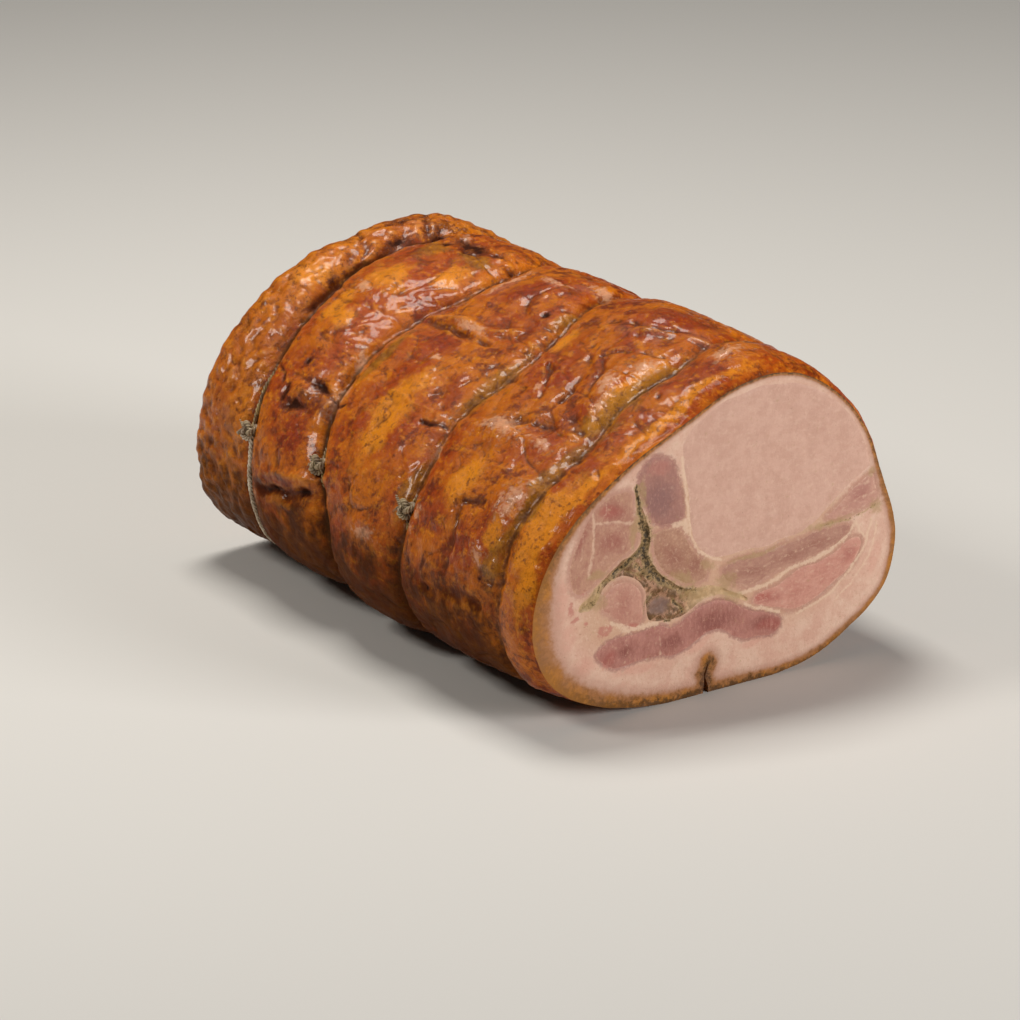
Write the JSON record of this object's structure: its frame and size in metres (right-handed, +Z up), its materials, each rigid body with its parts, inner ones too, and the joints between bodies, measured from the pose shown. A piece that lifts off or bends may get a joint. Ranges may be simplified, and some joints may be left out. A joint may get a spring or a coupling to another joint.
{
  "type": "porchetta roll",
  "caption": "Boned and rolled roast pork trunk, tied with string and cut through at one end, showing the loin, streaky lean, fat and a herb filling inside a browned rind.",
  "frame": {"origin": "on the base plane, midway along the roll", "axes": "+X to the right as seen from the cut, +Y along the roll from the cut to the roasted end, +Z up"},
  "size_m": [0.2063, 0.2785, 0.1489],
  "materials": {
    "roast_rind": "glossy browned roast rind over pale pink fat",
    "pale_loin": "moist cut roast loin",
    "pink_lean": "moist cut lean pork",
    "dark_lean": "moist cut dark lean pork",
    "herb_filling": "coarse dark herb filling",
    "twine": "roasted cotton twine"
  },
  "bodies": {
    "root": {"fat_and_rind": "roast_rind", "loin_eye": "pale_loin", "loin_cap": "dark_lean", "inner_muscle": "pink_lean", "flank_muscle": "pink_lean", "fillet": "pink_lean", "upper_band": "pink_lean", "outer_band": "pink_lean", "belly_band": "dark_lean", "side_wedge": "pink_lean", "herb_stuffing": "herb_filling", "string_tie_1": "twine", "string_tie_2": "twine", "string_tie_3": "twine", "string_tie_4": "twine"}
  },
  "joints": []
}
